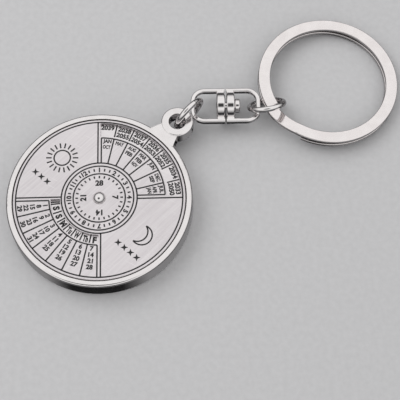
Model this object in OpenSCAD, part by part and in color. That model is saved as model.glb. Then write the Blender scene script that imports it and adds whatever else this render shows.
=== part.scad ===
// Perpetual calendar keyring: a round cast case with a turning dial, a two-bow swivel and a flat split ring.
// Millimetres, +Z up. The origin is on the dial axis, in the plane of the case back.

/* [Case] */
// Outer diameter of the round case
case_d = 38; // [32:0.5:48]
// Height of the case from its back to the top of its rim
case_h = 4.8; // [4.4:0.1:7]
// Width of the raised rim round the dial
rim_w = 1.2; // [0.8:0.1:2]
// Rounding of the rim's outer top edge
rim_round = 0.5; // [0.2:0.05:0.8]
// Chamfer round the bottom edge of the case
foot_chamfer = 0.3; // [0.1:0.05:0.6]
// Thickness of the web that carries the calendar plate
web_t = 1.1; // [0.8:0.1:1.4]
// Width of the wall round the back cover
back_wall_w = 1.6; // [1.2:0.1:2.4]
// Width of the ledge that the back cover rests on
ledge_w = 0.8; // [0.5:0.1:1.5]
// Thickness of the back cover
cover_t = 0.8; // [0.5:0.1:1]

/* [Lug] */
// Direction of the lug, counted from +X towards +Y
lug_angle = 47.5; // [30:0.5:60]
// Gap in plan between the round case and the wall of the eye
lug_neck = 0.95; // [0.5:0.05:2]
// Outer diameter of the eye
eye_d = 6.7; // [6.2:0.1:8]
// Diameter of the hole in the eye
eye_hole_d = 3.6; // [3.4:0.1:4]
// Thickness of the lug, down from the top of the rim
lug_t = 3; // [2.4:0.1:3.1]
// How far the eye stands proud of the neck
eye_proud = 0.15; // [0.05:0.05:0.4]
// Rounding of the eye's outer edges
eye_round = 0.35; // [0.1:0.05:0.6]
// Half width of the neck where it leaves the case
neck_root_half = 3.2; // [2.8:0.1:4.5]
// Half width of the neck where it meets the eye
neck_tip_half = 2.2; // [1.8:0.1:2.7]
// Distance from the case at which the neck stops narrowing
neck_taper = 1.9; // [1:0.1:2.5]

/* [Calendar] */
// Thickness of the turning dial
dial_t = 0.6; // [0.4:0.05:0.9]
// Gap between the edge of the dial and the rim
dial_side_gap = 0.2; // [0.1:0.05:0.4]
// Bevel round the top edge of the dial
dial_bevel = 0.12; // [0.05:0.01:0.2]
// Gap between the underside of the dial and the calendar plate
dial_lift = 0.12; // [0.06:0.02:0.3]
// Width of the plain border outside the year window
dial_border = 0.8; // [0.5:0.1:1.5]
// Radial width of the year window
year_window_w = 3.1; // [2:0.1:3.6]
// Radius of the plain hub inside the weekday window
hub_r = 8; // [6:0.1:8.5]
// Radial width of the weekday window
weekday_window_w = 1.9; // [1.4:0.1:2.4]
// Angle that each window takes up
window_sweep = 89; // [70:1:96]
// Turn of the whole dial from the case's own axes
dial_turn = 1.5; // [-20:0.5:20]
// Thickness of the fixed calendar plate
plate_t = 0.6; // [0.4:0.05:0.8]
// Gap between the edge of the calendar plate and the rim
plate_side_gap = 0.1; // [0.05:0.05:0.3]
// Radius at which the two locating posts stand
post_r = 11.7; // [10.5:0.1:12.5]
// Diameter of each locating post
post_d = 1.2; // [0.8:0.1:1.6]

/* [Dial rivet] */
// Diameter of the rivet that the dial turns on
rivet_d = 2; // [1.6:0.1:2.4]
// Diameter of the rivet's domed head
rivet_head_d = 2.7; // [2.6:0.1:3.6]
// Height of the domed head
rivet_head_h = 0.95; // [0.5:0.05:1.2]
// Diameter of the closed tail
rivet_tail_d = 3.2; // [2.8:0.1:4]
// Height of the closed tail
rivet_tail_h = 0.4; // [0.3:0.05:0.5]
// Outer diameter of the washer under the tail
tail_washer_d = 5; // [4.4:0.1:8]
// Thickness of the washer under the tail
tail_washer_t = 0.35; // [0.2:0.05:0.4]
// Outer diameter of the dished spring washer under the dial
spring_d = 4.6; // [4:0.1:7]
// Thickness of the dished spring washer
spring_t = 0.22; // [0.15:0.01:0.3]
// Clearance round the spring washer in the calendar plate's hole
spring_hole_gap = 0.4; // [0.2:0.05:0.6]

/* [Swivel] */
// Width of each bow
bow_w = 8; // [7.4:0.1:10]
// Length of each bow along the swivel's axis
bow_l = 7.2; // [6.8:0.1:9]
// Thickness of the bow's bar, seen from above
bar_w = 0.9; // [0.7:0.05:1.1]
// Height of the bow's bar
bar_h = 1.2; // [0.9:0.05:1.6]
// Rounding of the bar's edges
bar_round = 0.3; // [0.1:0.05:0.34]
// Outer radius of the bow's corners
bow_corner = 2.9; // [2:0.1:3.4]
// Diameter of the round end plate that the pin goes through
disc_d = 5.8; // [5:0.1:6.2]
// Thickness of the round end plate
disc_t = 1.7; // [1.2:0.1:2]
// Rounding of the end plate's edges
disc_round = 0.3; // [0.1:0.05:0.45]
// Gap between the two end plates
swivel_gap = 0.35; // [0.2:0.05:0.8]
// Diameter of the swivel pin
pin_d = 1.6; // [1.2:0.1:2]
// Diameter of the swivel pin's head
pin_head_d = 3; // [2.6:0.1:4]
// Thickness of the swivel pin's head
pin_head_t = 1.1; // [0.6:0.1:1.2]

/* [Rings] */
// Outer diameter of each jump ring
jump_d = 8.4; // [8.2:0.1:9]
// Wire diameter of each jump ring
jump_wire = 1.2; // [1:0.05:1.2]
// Width of the seam where a jump ring is closed
jump_seam = 0.1; // [0.05:0.05:0.2]
// Place of the first jump ring's seam round the ring
ring1_seam_at = 70; // [0:5:355]
// Place of the second jump ring's seam round the ring
ring2_seam_at = 250; // [0:5:355]
// Outer diameter of the split ring
split_d = 30; // [26:0.5:34]
// Width of the split ring's flat band
split_band = 2.5; // [2:0.1:2.6]
// Thickness of one turn of the band
split_t = 0.8; // [0.6:0.05:0.85]
// Gap between the two turns of the band
split_gap = 0.45; // [0.42:0.01:0.6]
// Length over which the band climbs from one turn to the other
split_climb = 6.2; // [5:0.1:8]
// Length of level band at each end of the climb
split_level = 1.2; // [0.8:0.1:2]
// Gap between the climb and each cut end of the band
split_end_gap = 0.6; // [0.5:0.05:1]
// Place of the climb round the split ring, counted from the far side of the second jump ring
split_climb_at = 202; // [198:1:215]

/* [Fits] */
// Radial clearance of a pin in the part that turns on it
running_gap = 0.04; // [0.02:0.01:0.08]
// Radial clearance of a pin in the part that holds it
fixed_gap = 0.02; // [0.01:0.01:0.04]
// Radial clearance of the spring washer round the rivet
spring_bore_gap = 0.08; // [0.05:0.01:0.15]
// Axial play under a rivet head
seat_gap = 0.05; // [0.02:0.01:0.1]

/* [Lie of the chain] */
// Gap between each ring and the surface that the keyring lies on
floor_gap = 0.03; // [0.01:0.01:0.1]
// Heading of the first jump ring in plan
ring1_heading = 47; // [42:1:52]
// Lean of the first jump ring away from upright
ring1_lean = 6; // [0:1:8]
// Distance of the first jump ring's wire behind the centre of the eye
ring1_back = 0.35; // [0.2:0.05:0.5]
// Sideways offset of the first jump ring from the centre of the eye
ring1_side = 0.25; // [0:0.05:0.4]
// Distance from the first jump ring's centre to the bow's end bar
ring1_bar = 1.28; // [1.1:0.02:1.4]
// Heading of the swivel in plan
swivel_heading = 1; // [-10:1:12]
// Sideways offset of the swivel's axis from where the first jump ring meets it
swivel_side = 1.2; // [1:0.05:1.5]
// Height of the round end plates above the surface that the keyring lies on
swivel_lift = 0.3; // [0.1:0.05:0.5]
// Heading of the second jump ring in plan
ring2_heading = 12; // [0:1:20]
// Lean of the second jump ring away from upright
ring2_lean = 40; // [30:1:50]
// Distance from the bow's end bar to the second jump ring's centre
ring2_bar = 1.8; // [1.5:0.05:2.05]
// Direction from the second jump ring to the split ring's centre
split_heading = 25; // [15:1:35]
// Distance of the band's middle beyond the second jump ring's centre
split_reach = 0.9; // [0.5:0.05:1.2]
// Rise of the split ring's band at the second jump ring above the middle of a flat ring
split_rise = 2; // [1.5:0.05:2.5]

/* [Hidden] */
$fn = 64;

// Heights in the case, from the back up
case_r = case_d / 2;
plate_top = case_h - dial_t - dial_lift;
web_top = plate_top - plate_t;
web_bottom = web_top - web_t;
cover_seat_r = case_r - back_wall_w;
cover_bore_r = cover_seat_r - ledge_w;
rim_bore_r = case_r - rim_w;

// Dial and plate
dial_r = rim_bore_r - dial_side_gap;
dial_bottom = case_h - dial_t;
plate_r = rim_bore_r - plate_side_gap;
year_r_out = dial_r - dial_border;
year_r_in = year_r_out - year_window_w;
weekday_r_out = hub_r + weekday_window_w;
year_window_start = (90 - window_sweep) / 2;
weekday_window_start = 180 + year_window_start;
plate_hole_d = spring_d + 2 * spring_hole_gap;
spring_h = plate_top + dial_lift - web_top - seat_gap;
post_h = plate_t - seat_gap;
post_angles = [45, 225];

// Lug
lug_reach = case_r + lug_neck + eye_d / 2;
lug_bottom = case_h - lug_t;
eye_at = [lug_reach * cos(lug_angle), lug_reach * sin(lug_angle)];
neck_bite = rim_w / 2;
neck_tip_x = case_r + neck_taper;

// Chain, from the lug outwards
jump_r = (jump_d - jump_wire) / 2;
ring1_reach = jump_r - ring1_back;
ring1_at = [
    eye_at[0] + ring1_reach * cos(ring1_heading) + ring1_side * sin(ring1_heading),
    eye_at[1] + ring1_reach * sin(ring1_heading) - ring1_side * cos(ring1_heading),
    floor_gap + jump_wire / 2 + jump_r * cos(ring1_lean)
];
swivel_z = disc_d / 2 + swivel_lift;
bow_mid_l = bow_l - bar_w / 2;
bar1_at = [
    ring1_at[0] + ring1_bar * cos(ring1_heading),
    ring1_at[1] + ring1_bar * sin(ring1_heading)
];
axis_at = [
    bar1_at[0] - swivel_side * sin(swivel_heading),
    bar1_at[1] + swivel_side * cos(swivel_heading)
];
swivel_reach = bow_mid_l + swivel_gap / 2;
swivel_at = [
    axis_at[0] + swivel_reach * cos(swivel_heading),
    axis_at[1] + swivel_reach * sin(swivel_heading),
    swivel_z
];
ring2_reach = swivel_reach + ring2_bar;
ring2_at = [
    swivel_at[0] + ring2_reach * cos(swivel_heading),
    swivel_at[1] + ring2_reach * sin(swivel_heading),
    floor_gap + jump_wire / 2 + jump_r * cos(ring2_lean)
];

// Split ring
split_r = split_d / 2;
split_in_r = split_r - split_band;
split_mid_r = split_r - split_band / 2;
split_pitch = split_t + split_gap;
split_h = split_t + split_pitch;
split_tilt = asin(split_rise / (split_r + split_mid_r));
split_offset = split_mid_r + split_reach;
split_at = [
    ring2_at[0] + split_offset * cos(split_heading),
    ring2_at[1] + split_offset * sin(split_heading),
    floor_gap + split_r * sin(split_tilt) + split_h / 2 * cos(split_tilt)
];
climb_half = split_climb / 2;
climb_join = asin((climb_half + split_level / 2) / split_mid_r);
climb_end = climb_join + asin(split_end_gap / split_mid_r);

// A rectangle with rounded corners, centred
module round_rect(w, h, r) {
    square([w - 2 * r, h], center = true);
    square([w, h - 2 * r], center = true);
    for (sx = [-1, 1], sy = [-1, 1])
        translate([sx * (w / 2 - r), sy * (h / 2 - r)]) circle(r);
}

// A round plate with both edges rounded, standing on z = 0
module round_disc(d, t, r) {
    rotate_extrude() {
        square([d / 2 - r, t]);
        translate([0, r]) square([d / 2, t - 2 * r]);
        translate([d / 2 - r, r]) circle(r);
        intersection() {
            translate([d / 2 - r, t - r]) circle(r);
            square([d, t]);
        }
    }
}

// A flat ring sector between two radii
module ring_sector(r_in, r_out, start, sweep, h) {
    rotate([0, 0, start]) rotate_extrude(angle = sweep) translate([r_in, 0]) square([r_out - r_in, h]);
}

// Turned profile of the case: rim, web, and the recess for the back cover
module case_profile() {
    difference() {
        union() {
            translate([0, foot_chamfer]) square([case_r, case_h - rim_round - foot_chamfer]);
            square([case_r - rim_round, case_h]);
            translate([case_r - rim_round, case_h - rim_round]) circle(rim_round);
            polygon([[0, 0], [case_r - foot_chamfer, 0], [case_r, foot_chamfer], [0, foot_chamfer]]);
        }
        translate([0, web_top]) square([rim_bore_r, case_h]);
        translate([0, -case_h]) square([cover_seat_r, case_h + cover_t]);
        translate([0, -case_h]) square([cover_bore_r, case_h + web_bottom]);
    }
}

// Flared neck between the case and the eye
module lug_neck_solid() {
    rotate([0, 0, lug_angle])
        translate([0, 0, lug_bottom])
            linear_extrude(lug_t)
                polygon([
                    [case_r - neck_bite, -neck_root_half],
                    [neck_tip_x, -neck_tip_half],
                    [lug_reach, -neck_tip_half],
                    [lug_reach, neck_tip_half],
                    [neck_tip_x, neck_tip_half],
                    [case_r - neck_bite, neck_root_half]
                ]);
}

module case_body() {
    color("silver")
        difference() {
            union() {
                rotate_extrude() case_profile();
                difference() {
                    lug_neck_solid();
                    cylinder(h = 2 * case_h, r = case_r - neck_bite);
                }
                translate([eye_at[0], eye_at[1], lug_bottom])
                    round_disc(eye_d, lug_t + eye_proud, eye_round);
                for (a = post_angles)
                    rotate([0, 0, a])
                        translate([post_r, 0, web_top - web_t / 2])
                            cylinder(h = web_t / 2 + post_h, d = post_d);
            }
            translate([eye_at[0], eye_at[1], 0]) cylinder(h = 2 * case_h, d = eye_hole_d);
            cylinder(h = 2 * case_h, d = rivet_d + 2 * fixed_gap);
        }
}

module back_cover() {
    color("gainsboro") cylinder(h = cover_t, r = cover_seat_r - fixed_gap);
}

module calendar_plate() {
    color("lightgray")
        translate([0, 0, web_top])
            difference() {
                cylinder(h = plate_t, r = plate_r);
                translate([0, 0, -plate_t]) cylinder(h = 3 * plate_t, d = plate_hole_d);
                for (a = post_angles)
                    rotate([0, 0, a])
                        translate([post_r, 0, -plate_t])
                            cylinder(h = 3 * plate_t, d = post_d + 2 * fixed_gap);
            }
}

module calendar_dial() {
    color("whitesmoke")
        translate([0, 0, dial_bottom])
            rotate([0, 0, dial_turn])
                difference() {
                    rotate_extrude()
                        polygon([
                            [rivet_d / 2 + running_gap, 0],
                            [dial_r, 0],
                            [dial_r, dial_t - dial_bevel],
                            [dial_r - dial_bevel, dial_t],
                            [rivet_d / 2 + running_gap, dial_t]
                        ]);
                    translate([0, 0, -dial_t])
                        ring_sector(year_r_in, year_r_out, year_window_start, window_sweep, 3 * dial_t);
                    translate([0, 0, -dial_t])
                        ring_sector(hub_r, weekday_r_out, weekday_window_start, window_sweep, 3 * dial_t);
                }
}

module dial_rivet() {
    dome_r = (pow(rivet_head_d / 2, 2) + pow(rivet_head_h, 2)) / (2 * rivet_head_h);
    head_z = case_h + seat_gap;
    tail_z = web_bottom - tail_washer_t - rivet_tail_h;
    color("silver") {
        translate([0, 0, tail_z]) cylinder(h = head_z - tail_z, d = rivet_d);
        translate([0, 0, tail_z]) cylinder(h = rivet_tail_h, d = rivet_tail_d);
        translate([0, 0, head_z])
            rotate_extrude()
                intersection() {
                    translate([0, rivet_head_h - dome_r]) circle(dome_r);
                    square([rivet_head_d, rivet_head_h]);
                }
    }
}

// Dished washer that presses the dial up against the rivet head
module spring_washer() {
    inner_r = rivet_d / 2 + spring_bore_gap;
    color("darkgray")
        translate([0, 0, web_top])
            rotate_extrude()
                polygon([
                    [spring_d / 2, 0],
                    [spring_d / 2, spring_t],
                    [inner_r, spring_h],
                    [inner_r, spring_h - spring_t]
                ]);
}

module tail_washer() {
    color("darkgray")
        translate([0, 0, web_bottom - tail_washer_t])
            difference() {
                cylinder(h = tail_washer_t, d = tail_washer_d);
                translate([0, 0, -tail_washer_t])
                    cylinder(h = 3 * tail_washer_t, d = rivet_d + 2 * fixed_gap);
            }
}

// A jump ring in its own plane, closed but for its seam
module jump_ring() {
    seam_turn = jump_seam / jump_r * 180 / PI;
    color("silver")
        rotate_extrude(angle = 360 - seam_turn) translate([jump_r, 0]) circle(d = jump_wire);
}

// Stand a ring up along a heading and lean it to the right
module stand_ring(at, heading, lean, seam_at) {
    translate(at) rotate([0, 0, heading]) rotate([90 + lean, 0, 0]) rotate([0, 0, seam_at]) children();
}

module lug_jump_ring() {
    stand_ring(ring1_at, ring1_heading, ring1_lean, ring1_seam_at) jump_ring();
}

module split_jump_ring() {
    stand_ring(ring2_at, ring2_heading, ring2_lean, ring2_seam_at) jump_ring();
}

module bar_section() {
    round_rect(bar_w, bar_h, bar_round);
}

// A bow along +X with its end plate at the swivel's middle; bore is the diameter of the pin hole
module bow(bore) {
    side_y = bow_w / 2 - bar_w / 2;
    bend_r = bow_corner - bar_w / 2;
    bend_x = swivel_gap / 2 + bow_mid_l - bend_r;
    bend_y = side_y - bend_r;
    color("silver")
        difference() {
            union() {
                for (s = [-1, 1]) {
                    translate([swivel_gap / 2, s * side_y, 0])
                        rotate([90, 0, 90]) linear_extrude(bend_x - swivel_gap / 2) bar_section();
                    translate([bend_x, s * bend_y, 0])
                        rotate([0, 0, s > 0 ? 0 : -90])
                            rotate_extrude(angle = 90) translate([bend_r, 0]) bar_section();
                }
                translate([bend_x + bend_r, bend_y, 0])
                    rotate([90, 0, 0]) linear_extrude(2 * bend_y) bar_section();
                translate([swivel_gap / 2 + disc_t / 2, side_y, 0])
                    rotate([90, 0, 0]) linear_extrude(2 * side_y) round_rect(disc_t, bar_h, bar_round);
                translate([swivel_gap / 2, 0, 0])
                    rotate([0, 90, 0]) round_disc(disc_d, disc_t, disc_round);
            }
            rotate([0, 90, 0]) cylinder(h = swivel_gap / 2 + 2 * disc_t, d = bore);
        }
}

module place_swivel() {
    translate(swivel_at) rotate([0, 0, swivel_heading]) children();
}

module case_side_bow() {
    place_swivel() rotate([0, 0, 180]) bow(pin_d + 2 * fixed_gap);
}

module ring_side_bow() {
    place_swivel() bow(pin_d + 2 * running_gap);
}

module swivel_pin() {
    far_x = swivel_gap / 2 + disc_t + seat_gap;
    color("silver")
        place_swivel()
            rotate([0, 90, 0]) {
                translate([0, 0, -swivel_gap / 2 - disc_t])
                    cylinder(h = far_x + swivel_gap / 2 + disc_t, d = pin_d);
                translate([0, 0, far_x]) round_disc(pin_head_d, pin_head_t, disc_round);
            }
}

// Height of the band's underside after a turn from the start of the lower layer
function band_z(turn) =
    let (along = (turn - 360 + climb_join) * PI / 180 * split_mid_r - split_level / 2)
    split_pitch * min(1, max(0, along / split_climb));

// Points along the middle of the band, on its upper and lower faces
climb_step = 4;
lower_start = climb_end;
upper_stop = 720 - 2 * climb_join - (climb_end - climb_join);
band_turns = [for (a = [lower_start : climb_step : upper_stop + climb_join]) a];
function band_point(turn, face) = [split_mid_r * cos(turn), split_mid_r * sin(turn), band_z(turn) + face];
band_gap = min([
    for (low = band_turns)
        for (high = band_turns)
            if (high > low + 180) norm(band_point(low, split_t) - band_point(high, 0))
]);
echo(split_ring_least_gap = band_gap);

// A closed flat ring of the band's width
module band_ring(h) {
    difference() {
        cylinder(h = h, r = split_r);
        translate([0, 0, -h]) cylinder(h = 3 * h, r = split_in_r);
    }
}

// The wedge between two directions
module band_wedge(from, to) {
    translate([0, 0, -split_h])
        linear_extrude(3 * split_h)
            polygon([
                [0, 0],
                [split_d * cos(from), split_d * sin(from)],
                [split_d * cos(to), split_d * sin(to)]
            ]);
}

// One level turn of the band, left open between two directions
module band_turn(open_from, open_to) {
    difference() {
        band_ring(split_t);
        band_wedge(open_from, open_to);
    }
}

// The stretch where the band climbs from the lower turn to the upper one
module band_climb() {
    end_y = climb_half + split_level;
    intersection() {
        band_ring(split_h);
        band_wedge(-climb_join, climb_join);
        rotate([90, 0, 90])
            linear_extrude(split_d)
                polygon([
                    [-end_y, 0], [-climb_half, 0], [climb_half, split_pitch], [end_y, split_pitch],
                    [end_y, split_h], [climb_half, split_h], [-climb_half, split_t], [-end_y, split_t]
                ]);
    }
}

module split_ring() {
    color("silver")
        translate(split_at)
            rotate([0, 0, split_heading])
                rotate([0, split_tilt, 0])
                    translate([0, 0, -split_h / 2])
                        rotate([0, 0, split_climb_at]) {
                            band_climb();
                            band_turn(-climb_join, climb_end);
                            translate([0, 0, split_pitch]) band_turn(-climb_end, climb_join);
                        }
}

case_body();
back_cover();
calendar_plate();
calendar_dial();
dial_rivet();
spring_washer();
tail_washer();
lug_jump_ring();
case_side_bow();
ring_side_bow();
swivel_pin();
split_jump_ring();
split_ring();
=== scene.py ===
# Perpetual calendar keyring: finishes, enamelled markings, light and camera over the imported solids
import math

import bmesh
import bpy
from mathutils import Matrix, Vector


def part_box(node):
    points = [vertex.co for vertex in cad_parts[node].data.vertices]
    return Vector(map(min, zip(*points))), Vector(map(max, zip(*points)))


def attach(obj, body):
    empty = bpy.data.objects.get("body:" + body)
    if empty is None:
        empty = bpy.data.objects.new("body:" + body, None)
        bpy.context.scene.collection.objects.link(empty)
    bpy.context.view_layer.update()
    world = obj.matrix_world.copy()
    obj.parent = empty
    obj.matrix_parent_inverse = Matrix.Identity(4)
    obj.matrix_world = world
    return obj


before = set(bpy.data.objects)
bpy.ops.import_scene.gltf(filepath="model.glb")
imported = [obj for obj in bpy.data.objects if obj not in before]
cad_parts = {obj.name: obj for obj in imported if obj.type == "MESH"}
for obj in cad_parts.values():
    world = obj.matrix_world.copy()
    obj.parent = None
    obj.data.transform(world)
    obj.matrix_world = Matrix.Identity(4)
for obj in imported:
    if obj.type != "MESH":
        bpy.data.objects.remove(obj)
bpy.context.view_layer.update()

MM = 0.001
FULL_TURN = 2 * math.pi
QUARTER = math.pi / 2

# Heights of the two marked faces, in millimetres
DIAL_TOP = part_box("calendar_dial")[1].z / MM
PLATE_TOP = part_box("calendar_plate")[1].z / MM


def add_object(name, data):
    """A new object in the scene for a mesh, a curve, a lamp or a camera."""
    added = bpy.data.objects.new(name, data)
    bpy.context.scene.collection.objects.link(added)
    return added


def polar(r, turn):
    return Vector((r * math.cos(turn), r * math.sin(turn)))


# Node trees of the materials and the surround. Most of a noise texture falls in this range.
NOISE_LOW, NOISE_HIGH = 0.3, 0.7


def links(tree, *pairs):
    for out, inp in pairs:
        tree.links.new(out, inp)


def new_material(name):
    """A node material with its shader and the object's own coordinates, in metres."""
    mat = bpy.data.materials.new(name)
    mat.use_nodes = True
    tree = mat.node_tree
    coords = tree.nodes.new("ShaderNodeTexCoord").outputs["Object"]
    return mat, tree, tree.nodes["Principled BSDF"], coords


def noise(tree, coords, scale, detail=3.0, turn=0.0):
    """Noise turned about Z, with a scale along each axis in waves per metre."""
    turned = tree.nodes.new("ShaderNodeMapping")
    turned.inputs["Rotation"].default_value = (0, 0, turn)
    stretched = tree.nodes.new("ShaderNodeMapping")
    stretched.inputs["Scale"].default_value = scale
    texture = tree.nodes.new("ShaderNodeTexNoise")
    texture.inputs["Scale"].default_value = 1.0
    texture.inputs["Detail"].default_value = detail
    links(
        tree,
        (coords, turned.inputs["Vector"]),
        (turned.outputs["Vector"], stretched.inputs["Vector"]),
        (stretched.outputs["Vector"], texture.inputs["Vector"]),
    )
    return texture.outputs["Fac"]


def ramp(tree, value, low, high, start=NOISE_LOW, stop=NOISE_HIGH):
    """A colour that runs from low to high as value goes from start to stop."""
    node = tree.nodes.new("ShaderNodeValToRGB")
    first, last = node.color_ramp.elements
    first.position, first.color = start, (*low, 1.0)
    last.position, last.color = stop, (*high, 1.0)
    tree.links.new(value, node.inputs["Fac"])
    return node.outputs["Color"]


def spread(tree, value, low, high, start=NOISE_LOW, stop=NOISE_HIGH):
    """A number that runs from low to high as value goes from start to stop."""
    node = tree.nodes.new("ShaderNodeMapRange")
    node.inputs["From Min"].default_value = start
    node.inputs["From Max"].default_value = stop
    node.inputs["To Min"].default_value = low
    node.inputs["To Max"].default_value = high
    tree.links.new(value, node.inputs["Value"])
    return node.outputs["Result"]


def blend(tree, share, below, above, kind="RGBA"):
    """A mix of two colours, or of two numbers with kind FLOAT, by a varying share."""
    node = tree.nodes.new("ShaderNodeMix")
    node.data_type = kind
    # The node has its own sockets for each kind of value
    first, second, result = (6, 7, 2) if kind == "RGBA" else (2, 3, 0)
    links(tree, (share, node.inputs[0]), (below, node.inputs[first]), (above, node.inputs[second]))
    return node.outputs[result]


def dot(tree, direction):
    """A node for the dot product of a direction and its second input."""
    node = tree.nodes.new("ShaderNodeVectorMath")
    node.operation = "DOT_PRODUCT"
    tree.links.new(direction, node.inputs[0])
    return node


# Wear and a painted highlight reach this far from an edge, and fade as the rounded normal comes to
# agree with the face's
EDGE_REACH = 0.14 * MM
EDGE_FULL, EDGE_GONE = 0.88, 0.995
EDGE_SAMPLES = 6


def edges(tree):
    """The share of wear and painted highlight, 1 on the solid's edges and 0 on its flats, and a
    rounded normal.
    """
    rounded = tree.nodes.new("ShaderNodeBevel")
    rounded.samples = EDGE_SAMPLES
    rounded.inputs["Radius"].default_value = EDGE_REACH
    surface = tree.nodes.new("ShaderNodeNewGeometry")
    agreed = dot(tree, rounded.outputs["Normal"])
    tree.links.new(surface.outputs["Normal"], agreed.inputs[1])
    wear_and_highlight = spread(tree, agreed.outputs["Value"], 1.0, 0.0, EDGE_FULL, EDGE_GONE)
    return wear_and_highlight, rounded.outputs["Normal"]


# Painted shade lies where other faces are this near, and fades as more of the surroundings is open
GAP_SHADE_REACH = 0.25 * MM
GAP_SHADE_FULL, GAP_SHADE_GONE = 0.2, 0.6
GAP_SHADE_SAMPLES = 8
GAP_SHADE_GRAIN = (900, 900, 900)
GAP_SHADE_COLOURS = ((0.015, 0.014, 0.013), (0.04, 0.037, 0.035))


def seams(tree, coords, colour, alone):
    """A colour with painted shade deep in narrow gaps, between solids or in the one solid alone."""
    closed = tree.nodes.new("ShaderNodeAmbientOcclusion")
    closed.samples = GAP_SHADE_SAMPLES
    closed.only_local = alone
    closed.inputs["Distance"].default_value = GAP_SHADE_REACH
    painted_shade = ramp(tree, noise(tree, coords, GAP_SHADE_GRAIN), *GAP_SHADE_COLOURS)
    share = spread(tree, closed.outputs["AO"], 1.0, 0.0, GAP_SHADE_FULL, GAP_SHADE_GONE)
    return blend(tree, share, colour, painted_shade)


def bump(tree, shader, height, strength, distance, normal=None):
    node = tree.nodes.new("ShaderNodeBump")
    if normal:
        tree.links.new(normal, node.inputs["Normal"])
    node.inputs["Strength"].default_value = strength
    node.inputs["Distance"].default_value = distance
    links(tree, (height, node.inputs["Height"]), (node.outputs["Normal"], shader.inputs["Normal"]))


# Brushed plate
STREAKS = (130, 3200, 130)
FINE_LINES = (900, 21000, 900)
SCRATCHES = (260, 9000, 260)
SCRATCH_TURN = math.radians(75)
SCRATCH_FROM, SCRATCH_FULL = 0.68, 0.76
SCRATCH_SHADE = (0.97, 0.95, 0.955)
SATIN_ROUGH = (0.3, 0.44)
SATIN_ANISOTROPY = 0.35
SATIN_BUMP = {"strength": 0.12, "distance": 0.02 * MM}


def satin_nickel(name, turn, low, high, alone):
    """Brushed plate: streaks and fine lines along one direction, and stray scratches across."""
    mat, tree, shader, coords = new_material(name)
    shader.inputs["Metallic"].default_value = 1.0
    shader.inputs["Anisotropic"].default_value = SATIN_ANISOTROPY
    streaks = noise(tree, coords, STREAKS, detail=4.0, turn=turn)
    brushing = noise(tree, coords, FINE_LINES, detail=2.0, turn=turn)
    stray = noise(tree, coords, SCRATCHES, detail=1.0, turn=turn + SCRATCH_TURN)
    scratched = spread(tree, stray, 0.0, 1.0, SCRATCH_FROM, SCRATCH_FULL)
    plain = ramp(tree, streaks, low, high)
    bared = ramp(tree, brushing, high, SCRATCH_SHADE)
    # Painted shade darkens the narrow gaps over the brushed colour
    colour = seams(tree, coords, blend(tree, scratched, plain, bared), alone)
    links(
        tree,
        (colour, shader.inputs["Base Color"]),
        (spread(tree, brushing, *SATIN_ROUGH), shader.inputs["Roughness"]),
    )
    bump(tree, shader, brushing, **SATIN_BUMP)
    return mat


# Polished plate
WAVES = (420, 420, 420)
SMEARS = (260, 700, 260)
SMEAR_TURN = 0.6
# Edge colour: plating rubbed thin, painted lighter and warmer as a highlight
WORN_AND_HIGHLIT_EDGE_SHADES = ((0.9, 0.86, 0.8), (0.97, 0.94, 0.9))
SCUFF_ROUGH = 0.1
WAVE_BUMP = {"strength": 0.1, "distance": 0.06 * MM}


def polished_nickel(name, low, high, rough, cast=False):
    """Bright plate with soft waves, faint smears, and plating rubbed thin along the edges, lightened
    and warmed there as a painted highlight.

    A casting's sharp edges look rounded, and painted shade darkens the gaps between it and its
    neighbours.
    """
    mat, tree, shader, coords = new_material(name)
    shader.inputs["Metallic"].default_value = 1.0
    waves = noise(tree, coords, WAVES, detail=2.0)
    smears = noise(tree, coords, SMEARS, detail=4.0, turn=SMEAR_TURN)
    wear_and_highlight, rounded = edges(tree)
    plain = ramp(tree, waves, low, high)
    worn_and_highlit = ramp(tree, smears, *WORN_AND_HIGHLIT_EDGE_SHADES)
    colour = seams(tree, coords, blend(tree, wear_and_highlight, plain, worn_and_highlit), alone=not cast)
    smooth = spread(tree, smears, *rough)
    scuffed = spread(tree, waves, rough[1], rough[1] + SCUFF_ROUGH)
    links(
        tree,
        (colour, shader.inputs["Base Color"]),
        (blend(tree, wear_and_highlight, smooth, scuffed, "FLOAT"), shader.inputs["Roughness"]),
    )
    bump(tree, shader, waves, normal=rounded if cast else None, **WAVE_BUMP)
    return mat


ENAMEL_GRAIN = (2600, 2600, 2600)
ENAMEL_SHADES = ((0.006, 0.006, 0.007), (0.02, 0.019, 0.02))
ENAMEL_ROUGH = (0.35, 0.55)


def black_enamel():
    mat, tree, shader, coords = new_material("black_enamel")
    grain = noise(tree, coords, ENAMEL_GRAIN)
    links(
        tree,
        (ramp(tree, grain, *ENAMEL_SHADES), shader.inputs["Base Color"]),
        (spread(tree, grain, *ENAMEL_ROUGH), shader.inputs["Roughness"]),
    )
    return mat


FLOOR_FIBRES = (900, 900, 900)
FLOOR_SHADES = ((0.58, 0.58, 0.59), (0.62, 0.62, 0.63))
FLOOR_ROUGH, FLOOR_SHINE = 0.75, 0.2
TABLE_SHADE, TABLE_ROUGH = (0.25, 0.25, 0.256, 1.0), 0.03


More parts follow.
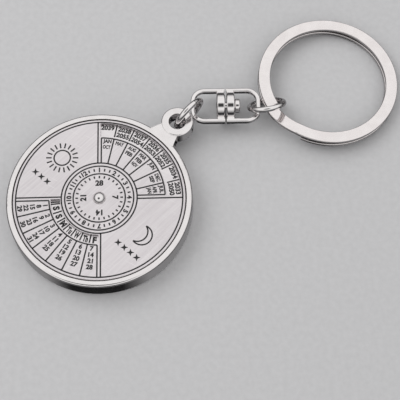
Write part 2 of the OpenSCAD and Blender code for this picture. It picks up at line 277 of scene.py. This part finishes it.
def pale_floor():
    """Pale matt board, which the metal mirrors as a dark glossy table."""
    mat, tree, shader, coords = new_material("pale_floor")
    shader.inputs["Roughness"].default_value = FLOOR_ROUGH
    shader.inputs["Specular IOR Level"].default_value = FLOOR_SHINE
    table = tree.nodes.new("ShaderNodeBsdfGlossy")
    table.inputs["Color"].default_value = TABLE_SHADE
    table.inputs["Roughness"].default_value = TABLE_ROUGH
    path = tree.nodes.new("ShaderNodeLightPath")
    mix = tree.nodes.new("ShaderNodeMixShader")
    shade = ramp(tree, noise(tree, coords, FLOOR_FIBRES, detail=4.0), *FLOOR_SHADES)
    links(
        tree,
        (shade, shader.inputs["Base Color"]),
        (path.outputs["Is Glossy Ray"], mix.inputs["Fac"]),
        (shader.outputs["BSDF"], mix.inputs[1]),
        (table.outputs["BSDF"], mix.inputs[2]),
        (mix.outputs["Shader"], tree.nodes["Material Output"].inputs["Surface"]),
    )
    return mat


# Direction of the brushing, and each metal's darker and lighter shade
DIAL_BRUSHING, PLATE_BRUSHING = math.radians(-45), math.radians(20)
DIAL_NICKEL = ((0.765, 0.725, 0.745), (0.865, 0.83, 0.845))
# The plate's nickel is painted lighter than the dial's, to make up for the shade in the recessed
# windows
LIGHTENED_PLATE_NICKEL = ((0.86, 0.825, 0.84), (0.92, 0.89, 0.9))
NICKEL = ((0.86, 0.83, 0.83), (0.92, 0.895, 0.895))
RING_NICKEL = ((0.88, 0.835, 0.83), (0.94, 0.9, 0.895))
PLAIN_STEEL = ((0.42, 0.42, 0.43), (0.52, 0.52, 0.53))
# Painted shade darkens the gaps between solids on the dial and the case, and only within its own
# solid on the rest
DIAL_METAL = satin_nickel("satin_nickel_dial", DIAL_BRUSHING, *DIAL_NICKEL, alone=False)
PLATE_METAL = satin_nickel("satin_nickel_plate", PLATE_BRUSHING, *LIGHTENED_PLATE_NICKEL, alone=True)
CASE_METAL = polished_nickel("polished_nickel_case", *NICKEL, rough=(0.06, 0.14), cast=True)
WIRE = polished_nickel("polished_nickel_wire", *NICKEL, rough=(0.04, 0.1))
RING_METAL = polished_nickel("polished_nickel_ring", *RING_NICKEL, rough=(0.1, 0.2))
STEEL = polished_nickel("plain_steel", *PLAIN_STEEL, rough=(0.25, 0.4))
ENAMEL = black_enamel()

FINISHES = {
    "case_body": CASE_METAL,
    "back_cover": PLATE_METAL,
    "calendar_plate": PLATE_METAL,
    "calendar_dial": DIAL_METAL,
    "dial_rivet": CASE_METAL,
    "spring_washer": STEEL,
    "tail_washer": STEEL,
    "lug_jump_ring": WIRE,
    "case_side_bow": WIRE,
    "ring_side_bow": WIRE,
    "swivel_pin": WIRE,
    "split_jump_ring": WIRE,
    "split_ring": RING_METAL,
}
# Width of the softened edge on the nodes that are left sharp, in millimetres
SOFT_EDGES = {"back_cover": 0.1, "calendar_dial": 0.03, "split_ring": 0.2}
SOFT_STEPS = 3
SHARP_ANGLE = math.radians(40)
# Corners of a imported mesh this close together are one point, in millimetres
WELD_REACH = 0.001
for node_name, metal in FINISHES.items():
    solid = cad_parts[node_name]
    solid.data.materials.clear()
    solid.data.materials.append(metal)
    if node_name in SOFT_EDGES:
        welded = solid.modifiers.new("closed_seams", "WELD")
        welded.merge_threshold = WELD_REACH * MM
        softened = solid.modifiers.new("soft_edges", "BEVEL")
        softened.width = SOFT_EDGES[node_name] * MM
        softened.segments = SOFT_STEPS
        softened.limit_method = "ANGLE"
        softened.angle_limit = SHARP_ANGLE
        shading = solid.modifiers.new("flat_faces", "WEIGHTED_NORMAL")
        shading.mode = "FACE_AREA"

# Enamel lies a hair above the metal and is sunk into it below. All marks are in millimetres.
ENAMEL_RISE = 0.012
ENAMEL_SINK = 0.03
LINE_W = 0.3
ARC_STEP = math.radians(2)
# Lettering: steps along a curve, and how far its outline is moved out, as a share of its size
LETTER_STEPS = 3
LETTER_WEIGHT = 0.05
# Points of a mesh this close together are joined, in metres
SAME_POINT = 1e-7


def lettering(words, size, weight, depth):
    """The mesh of some words, half of its depth above the plane and half below."""
    curve = bpy.data.curves.new("lettering", "FONT")
    curve.body = words
    curve.size = size * MM
    curve.offset = weight * size * MM
    curve.extrude = depth / 2 * MM
    curve.resolution_u = LETTER_STEPS
    holder = add_object("lettering", curve)
    shaped = holder.evaluated_get(bpy.context.evaluated_depsgraph_get())
    mesh = bpy.data.meshes.new_from_object(shaped)
    bpy.data.objects.remove(holder)
    bpy.data.curves.remove(curve)
    return mesh


class Marks:
    """Enamelled marks on one flat face, gathered into one mesh."""

    def __init__(self, face):
        self.bm = bmesh.new()
        self.low = face - ENAMEL_SINK
        self.high = face + ENAMEL_RISE

    def vertex(self, point, z):
        return self.bm.verts.new((point[0] * MM, point[1] * MM, z * MM))

    def prism(self, loop):
        """A filled outline."""
        bottom = [self.vertex(point, self.low) for point in loop]
        top = [self.vertex(point, self.high) for point in loop]
        self.bm.faces.new(reversed(bottom))
        self.bm.faces.new(top)
        for i in range(len(loop)):
            j = (i + 1) % len(loop)
            self.bm.faces.new((bottom[i], bottom[j], top[j], top[i]))

    def strip(self, inner, outer, closed):
        """The strip between two rows of points, with two ends or joined into a ring."""
        corners = ((inner, self.low), (outer, self.low), (outer, self.high), (inner, self.high))
        rows = [[self.vertex(point, z) for point in points] for points, z in corners]
        count = len(inner)
        for i in range(count if closed else count - 1):
            j = (i + 1) % count
            for a, b in zip(rows, rows[1:] + rows[:1]):
                self.bm.faces.new((a[i], b[i], b[j], a[j]))
        if not closed:
            self.bm.faces.new([row[0] for row in reversed(rows)])
            self.bm.faces.new([row[-1] for row in rows])

    def arc(self, r, start=0.0, stop=FULL_TURN, centre=(0, 0), width=LINE_W):
        """A line along an arc; a whole turn gives a ring."""
        closed = stop - start >= FULL_TURN
        steps = int((stop - start) / ARC_STEP)
        count = steps if closed else steps + 1
        turns = [start + (stop - start) * i / steps for i in range(count)]
        inner = [polar(r - width / 2, turn) + Vector(centre) for turn in turns]
        outer = [polar(r + width / 2, turn) + Vector(centre) for turn in turns]
        self.strip(inner, outer, closed)

    def bar(self, start, stop):
        """A straight line between two points."""
        along = (stop - start).normalized()
        side = Vector((-along.y, along.x)) * LINE_W / 2
        self.prism((start - side, stop - side, stop + side, start + side))

    def ray(self, turn, r_in, r_out, shift=0.0):
        """A line outwards from the middle, moved sideways by shift."""
        side = polar(shift, turn + QUARTER)
        self.bar(polar(r_in, turn) + side, polar(r_out, turn) + side)

    def star(self, centre, r, waist, points):
        """A small star with its first point upwards."""
        step = math.pi / points
        corners = [polar(waist if i % 2 else r, QUARTER + i * step) for i in range(2 * points)]
        self.prism([centre + corner for corner in corners])

    def letters(self, words, size, r, turn, inward=False, weight=LETTER_WEIGHT, widest=math.inf):
        """Short lettering with its top outwards or inwards, narrowed to the widest it may be."""
        mesh = lettering(words, size, weight, self.high - self.low)
        # The lettering is centred on what it covers, not on its line
        xs = [v.co.x for v in mesh.vertices]
        ys = [v.co.y for v in mesh.vertices]
        middle = Vector((min(xs) + max(xs), min(ys) + max(ys), 0)) / 2
        narrowing = min(1, widest * MM / (max(xs) - min(xs)))
        place = (*polar(r * MM, turn), (self.low + self.high) / 2 * MM)
        mesh.transform(
            Matrix.Translation(place)
            @ Matrix.Rotation(turn + (QUARTER if inward else -QUARTER), 4, "Z")
            @ Matrix.Diagonal((narrowing, 1, 1, 1))
            @ Matrix.Translation(-middle)
        )
        self.bm.from_mesh(mesh)
        bpy.data.meshes.remove(mesh)

    def finish(self, name, body):
        """The piece that these marks make, riding on a body."""
        bmesh.ops.remove_doubles(self.bm, verts=self.bm.verts, dist=SAME_POINT)
        bmesh.ops.recalc_face_normals(self.bm, faces=self.bm.faces)
        mesh = bpy.data.meshes.new(name)
        self.bm.to_mesh(mesh)
        self.bm.free()
        mesh.materials.append(ENAMEL)
        piece = add_object(name, mesh)
        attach(piece, body)


# Turn of the dial from the case's own axes
DIAL_TURN = math.radians(1.5)

# Lines of the dial: a panel in each quarter, cells for months and dates, and rings round the hub
PANELS = 4
MONTH_PANEL, DATE_PANEL = 0, 2
# A panel's sides stand this far in from the quarter's
PANEL_INSET = 0.35
CELLS = 7
CELL_TURN = QUARTER / CELLS
# Radii of the panels, the month cells, the date cells and the hub's rings
PANEL_R, MONTH_R, DATE_R, HUB_R = 17.0, 13.42, 10.22, 7.72
HUB_TRACK_R = (7.02, 5.3)
lines = Marks(DIAL_TOP)
for index in range(PANELS):
    start = DIAL_TURN + index * QUARTER
    r_in = DATE_R if index == DATE_PANEL else HUB_R
    r_out = MONTH_R if index == MONTH_PANEL else PANEL_R
    lines.ray(start, r_in, r_out, shift=PANEL_INSET)
    lines.ray(start + QUARTER, r_in, r_out, shift=-PANEL_INSET)
    if index in (MONTH_PANEL, DATE_PANEL):
        window_side_r = r_out if index == MONTH_PANEL else r_in
        clear = math.asin(PANEL_INSET / window_side_r)
        lines.arc(window_side_r, start + clear, start + QUARTER - clear)
        for k in range(1, CELLS):
            lines.ray(start + k * CELL_TURN, r_in, r_out)
for r in (PANEL_R, HUB_R, *HUB_TRACK_R):
    lines.arc(r)
lines.finish("dial_lines", "dial")

# Months, from the top of the dial clockwise, and dates, from the left round to the bottom
MONTHS = (
    ("JAN", "OCT"),
    ("MAY",),
    ("AUG", "FEB"),
    ("MAR", "FEB", "NOV"),
    ("JUN",),
    ("DEC", "SEP"),
    ("JUL", "APR", "JAN"),
)
LAST_DATE = 31
# Letter size, radius of the first row, and step to the next
MONTH_TEXT, MONTH_TOP_R, MONTH_ROW = 1.1, 12.62, 1.22
DATE_TEXT, DATE_TOP_R, DATE_ROW = 1.32, 11.02, 1.3
# The widest that a month's name may be, as a share of its cell, and that a date may be
MONTH_FILL = 0.62
DATE_W = 1.5


def cell_middle(k, r):
    """Turn from a panel's side to the middle of a cell, between its lines, at a radius."""
    inset = PANEL_INSET / 2 / r
    return (k + 0.5) * CELL_TURN + inset * ((k == 0) - (k == CELLS - 1))


numbers = Marks(DIAL_TOP)
for k, names in enumerate(MONTHS):
    for row, name in enumerate(names):
        r = MONTH_TOP_R - MONTH_ROW * row
        turn = DIAL_TURN + QUARTER - cell_middle(k, r)
        numbers.letters(name, MONTH_TEXT, r, turn, widest=MONTH_FILL * CELL_TURN * r)
for date in range(LAST_DATE):
    row, column = divmod(date, CELLS)
    r = DATE_TOP_R + DATE_ROW * row
    turn = DIAL_TURN + DATE_PANEL * QUARTER + cell_middle(column, r)
    numbers.letters(str(date + 1), DATE_TEXT, r, turn, inward=True, widest=DATE_W)

# Scales of the hub: twelve months outside, and the calendar's cycle of years inside
HUB_MONTHS = 12
HUB_TEXT, HUB_TEXT_R, HUB_TICK_R = 1.35, 6.16, (5.85, 6.47)
MONTH_TURN = FULL_TURN / HUB_MONTHS
for k in range(HUB_MONTHS):
    turn = DIAL_TURN + QUARTER - k * MONTH_TURN
    numbers.letters(str(k + 1), HUB_TEXT, HUB_TEXT_R, turn)
    for third in (1, 2):
        numbers.ray(turn + third * MONTH_TURN / 3, *HUB_TICK_R)
CYCLE = 28
CYCLE_TEXT, CYCLE_TEXT_R, CYCLE_TICK_R = 1.6, 3.25, (4.3, 4.85)
for k in range(CYCLE):
    turn = DIAL_TURN + QUARTER - k * FULL_TURN / CYCLE
    numbers.ray(turn, *CYCLE_TICK_R)
    if k % CELLS == 0:
        numbers.letters(str(k or CYCLE), CYCLE_TEXT, CYCLE_TEXT_R, turn)
numbers.finish("dial_numbers", "dial")

# Figures of the two plain panels, with a slanting row of stars beside each
SUN_AT, SUN_R = Vector((-7.7, 9.1)), 1.68
SUN_RAYS, SUN_RAY_R = 18, (2.2, 3.32)
MOON_AT, MOON_R, MOON_BITE = Vector((8.6, -8.3)), 2.1, 1.15
MOON_HEADING = math.radians(-40)
STAR_ROWS = ((Vector((-11.9, 5.0)), 3), (Vector((5.7, -11.4)), 4))
STAR_R, STAR_WAIST, STAR_POINTS = 0.8, 0.3, 4
STAR_STEP = polar(1.65, math.radians(-42))
spun = Matrix.Rotation(DIAL_TURN, 2)
figures = Marks(DIAL_TOP)
sun = spun @ SUN_AT
figures.arc(SUN_R, centre=sun)
for k in range(SUN_RAYS):
    inner, outer = (polar(r, k * FULL_TURN / SUN_RAYS) for r in SUN_RAY_R)
    figures.bar(sun + inner, sun + outer)
# The crescent is one disc bitten by another of the same size
moon = spun @ MOON_AT
back = MOON_HEADING + math.pi
horn = math.acos(MOON_BITE / 2 / MOON_R)
figures.arc(MOON_R, back + horn, back + FULL_TURN - horn, moon)
figures.arc(MOON_R, back + math.pi - horn, back + math.pi + horn, moon + polar(MOON_BITE, back))
for row_at, count in STAR_ROWS:
    for k in range(count):
        star_at = spun @ (row_at + STAR_STEP * (k - (count - 1) / 2))
        figures.star(star_at, STAR_R, STAR_WAIST, STAR_POINTS)
figures.finish("dial_figures", "dial")

# Markings of the fixed plate, all the way round so that the windows always show some.
# A dark enamel line lies in the gap round the dial as painted shade.
SHADE_LINE_R, SHADE_LINE_W = 17.65, 0.26
# Years count down clockwise in two rows, and the second row leaves out every fifth
YEAR_COLUMNS = PANELS * CELLS
YEAR_START = math.radians(85.7)
YEAR_TEXT, YEAR_W, YEAR_ROWS_R, YEAR_LINE_R = 1.38, 2.85, (16.12, 14.82), (14.2, 17.1)
FIRST_YEAR, SECOND_YEAR, YEAR_SKIP = 2039, 2056, 5
# Weekdays, once in each quarter
WEEKDAYS = ("S", "S", "M", "Tu", "W", "Th", "F")
WEEK_START = math.radians(193)
WEEK_CELL = math.radians(12.1)
WEEK_END_GAP = math.radians(2.6)
WEEK_TEXT, WEEK_W, WEEK_TEXT_R, WEEK_LINE_R = 1.75, 1.15, 8.95, (7.8, 10.1)
WEEK_WEIGHT = 0.06
plate_marks_and_shade_line = Marks(PLATE_TOP)
# Painted shade: a dark enamel ring in the gap round the dial
plate_marks_and_shade_line.arc(SHADE_LINE_R, width=SHADE_LINE_W)
for k in range(YEAR_COLUMNS):
    turn = YEAR_START - k * CELL_TURN
    plate_marks_and_shade_line.letters(str(FIRST_YEAR - k), YEAR_TEXT, YEAR_ROWS_R[0], turn, widest=YEAR_W)
    if k % YEAR_SKIP:
        plate_marks_and_shade_line.letters(str(SECOND_YEAR - k), YEAR_TEXT, YEAR_ROWS_R[1], turn, widest=YEAR_W)
    plate_marks_and_shade_line.ray(turn - CELL_TURN / 2, *YEAR_LINE_R)
for week in range(PANELS):
    first_turn = WEEK_START + week * QUARTER
    for k, day in enumerate(WEEKDAYS):
        turn = first_turn + k * WEEK_CELL
        plate_marks_and_shade_line.letters(
            day, WEEK_TEXT, WEEK_TEXT_R, turn, inward=True, weight=WEEK_WEIGHT, widest=WEEK_W
        )
        plate_marks_and_shade_line.ray(turn - WEEK_CELL / 2, *WEEK_LINE_R)
    plate_marks_and_shade_line.ray(first_turn - WEEK_CELL / 2 - WEEK_END_GAP, *WEEK_LINE_R)
plate_marks_and_shade_line.finish("plate_marks_and_shade_line", "case")

# Floor
FLOOR_HALF = 1.2
FLOOR_CORNERS = ((-1, -1), (1, -1), (1, 1), (-1, 1))
floor_mesh = bpy.data.meshes.new("floor")
floor_mesh.from_pydata(
    [(sx * FLOOR_HALF, sy * FLOOR_HALF, 0) for sx, sy in FLOOR_CORNERS], [], [(0, 1, 2, 3)]
)
floor = add_object("floor", floor_mesh)
floor.data.materials.append(pale_floor())

# Studio surround: a pale tent, darker towards the horizon and dark where the camera looks in
TENT_SHADES = ((0.05, 0.05, 0.053), (0.95, 0.945, 0.94))
TENT_RISE = (0.05, 0.55)
TENT_STRENGTH = 0.92
OPENING, OPENING_STRENGTH = (-0.1, -0.32, 0.942), 0.05
OPENING_EDGE, OPENING_INSIDE = 0.922, 0.98
UP = (0, 0, 1)
world = bpy.data.worlds.new("studio")
bpy.context.scene.world = world
world.use_nodes = True
sky = world.node_tree
sky_coords = sky.nodes.new("ShaderNodeTexCoord").outputs["Generated"]


def towards(axis):
    """How far a direction leans to an axis, from -1 to 1."""
    node = dot(sky, sky_coords)
    node.inputs[1].default_value = axis
    return node.outputs["Value"]


tent = sky.nodes["Background"]
shade = ramp(sky, towards(UP), *TENT_SHADES, *TENT_RISE)
strength = spread(
    sky, towards(OPENING), TENT_STRENGTH, OPENING_STRENGTH, OPENING_EDGE, OPENING_INSIDE
)
links(sky, (shade, tent.inputs["Color"]), (strength, tent.inputs["Strength"]))

# One soft lamp for the floor and its shadow; the metal mirrors the tent alone
LAMP_AT, LAMP_TARGET = Vector((-0.35, 0.2, 0.45)), Vector((0.02, 0.01, 0))
LAMP_SIZE, LAMP_WATTS = 0.5, 1.1
lamp_data = bpy.data.lights.new("key", "AREA")
lamp_data.shape = "DISK"
lamp_data.size = LAMP_SIZE
lamp_data.energy = LAMP_WATTS
lamp = add_object("key", lamp_data)
lamp.location = LAMP_AT
lamp.rotation_mode = "QUATERNION"
lamp.rotation_quaternion = (LAMP_TARGET - LAMP_AT).to_track_quat("-Z", "Y")
lamp.visible_glossy = False

# Camera at the photograph's side of the object, looking down at it
CAMERA_AT = (0.0205, -0.0851, 0.2142)
CAMERA_PITCH = math.radians(68)
SENSOR_W, FOCAL_LENGTH = 36, 100
CLIP_NEAR, CLIP_FAR = 0.01, 10
camera_data = bpy.data.cameras.new("camera")
camera_data.sensor_width = SENSOR_W
camera_data.lens = FOCAL_LENGTH
camera_data.clip_start = CLIP_NEAR
camera_data.clip_end = CLIP_FAR
camera = add_object("camera", camera_data)
camera.location = CAMERA_AT
camera.rotation_euler = (QUARTER - CAMERA_PITCH, 0, 0)
bpy.context.scene.camera = camera
bpy.context.scene.view_settings.view_transform = "Standard"
